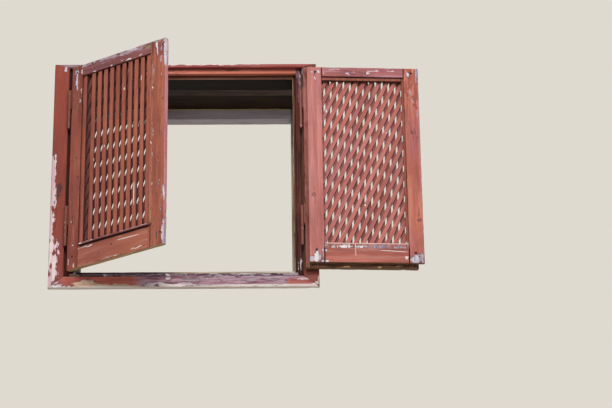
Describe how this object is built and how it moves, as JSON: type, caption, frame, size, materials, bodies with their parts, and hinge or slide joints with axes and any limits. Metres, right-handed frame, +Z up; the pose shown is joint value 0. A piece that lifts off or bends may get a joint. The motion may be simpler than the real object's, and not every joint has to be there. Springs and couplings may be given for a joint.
{
  "type": "shuttered window",
  "caption": "Timber window frame and mitred casing for a stone wall, with a pair of side-hinged shutter leaves filled with a two-layer slat lattice.",
  "frame": {"origin": "middle of the back face of the bottom casing board, on the plane of the wall's outer face", "axes": "+X along the wall to the right as seen from outdoors, +Y into the wall, +Z up"},
  "size_m": [1.4143, 0.6147, 0.945],
  "materials": {
    "casing_paint": "weathered, peeling",
    "frame_paint": "weathered satin",
    "stop_paint": "weathered",
    "soffit_board": "rough sawn, stained",
    "inner_frame_paint": "weathered grey",
    "leaf_paint": "weathered, peeling",
    "lattice_paint": "weathered",
    "hinge_steel": "painted over, worn"
  },
  "bodies": {
    "root": {"casing_left": "casing_paint", "casing_right": "casing_paint", "casing_head": "casing_paint", "casing_bottom": "casing_paint", "frame_left_jamb": "frame_paint", "frame_right_jamb": "frame_paint", "frame_head": "frame_paint", "frame_sill": "frame_paint", "stop_left_jamb": "stop_paint", "stop_right_jamb": "stop_paint", "stop_head": "stop_paint", "stop_sill": "stop_paint", "soffit_front_board": "soffit_board", "soffit_rear_board": "soffit_board", "inner_left_jamb": "inner_frame_paint", "inner_right_jamb": "inner_frame_paint", "inner_head": "inner_frame_paint", "inner_sill": "inner_frame_paint", "left_upper_hinge_frame_half": "hinge_steel", "left_lower_hinge_frame_half": "hinge_steel", "right_upper_hinge_frame_half": "hinge_steel", "right_lower_hinge_frame_half": "hinge_steel"},
    "left_leaf": {"left_leaf_hinge_stile": "leaf_paint", "left_leaf_meeting_stile": "leaf_paint", "left_leaf_top_rail": "leaf_paint", "left_leaf_bottom_rail": "leaf_paint", "left_leaf_lattice_beads": "leaf_paint", "left_leaf_drip_strip": "leaf_paint", "left_leaf_upright_slats": "lattice_paint", "left_leaf_diagonal_slats": "lattice_paint", "left_upper_hinge_leaf_half": "hinge_steel", "left_lower_hinge_leaf_half": "hinge_steel"},
    "right_leaf": {"right_leaf_hinge_stile": "leaf_paint", "right_leaf_meeting_stile": "leaf_paint", "right_leaf_top_rail": "leaf_paint", "right_leaf_bottom_rail": "leaf_paint", "right_leaf_lattice_beads": "leaf_paint", "right_leaf_drip_strip": "leaf_paint", "right_leaf_upright_slats": "lattice_paint", "right_leaf_diagonal_slats": "lattice_paint", "right_upper_hinge_leaf_half": "hinge_steel", "right_lower_hinge_leaf_half": "hinge_steel"}
  },
  "joints": [
    {"name": "left_leaf_swing", "type": "hinge", "parent": "root", "child": "left_leaf", "pos_m": [-0.448, -0.027, 0.469], "axis": [0, 0, -1], "range_deg": [-33.9, 148.7]},
    {"name": "right_leaf_swing", "type": "hinge", "parent": "root", "child": "right_leaf", "pos_m": [0.448, -0.027, 0.469], "axis": [0, 0, 1], "range_deg": [-182.6, 0]}
  ]
}
